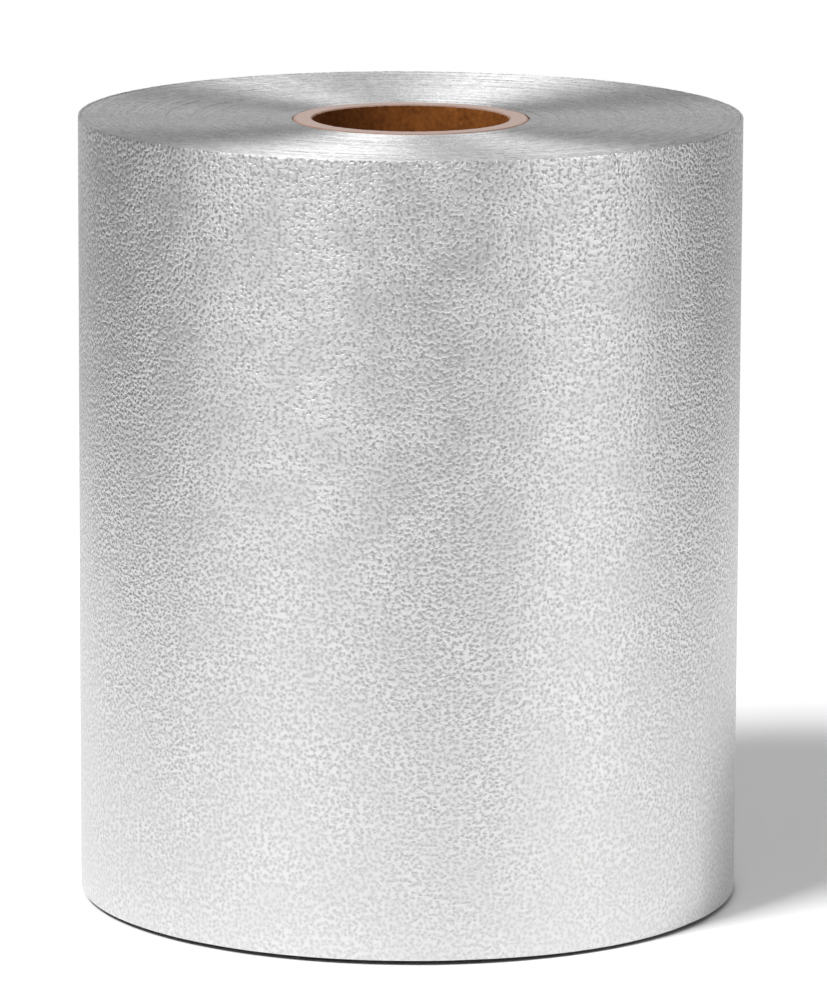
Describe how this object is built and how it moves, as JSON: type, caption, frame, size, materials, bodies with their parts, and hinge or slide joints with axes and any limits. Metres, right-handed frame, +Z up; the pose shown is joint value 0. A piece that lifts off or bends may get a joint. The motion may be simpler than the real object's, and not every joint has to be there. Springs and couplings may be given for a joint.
{
  "type": "aluminium foil roll",
  "caption": "Roll of embossed aluminium foil wound on an open paperboard core, for a counter dispenser.",
  "frame": {"origin": "middle of the end that the roll stands on", "axes": "+Z up along the roll's axis, -Y towards the viewer, the cut edge of the foil at +Y"},
  "size_m": [0.1075, 0.1076, 0.1278],
  "materials": {
    "embossed_foil": "bright, embossed with a fine pebble pattern",
    "paperboard": "uncoated brown board, paler on the cut ends"
  },
  "bodies": {
    "root": {"foil_winding": "embossed_foil", "core_tube": "paperboard"}
  },
  "joints": []
}
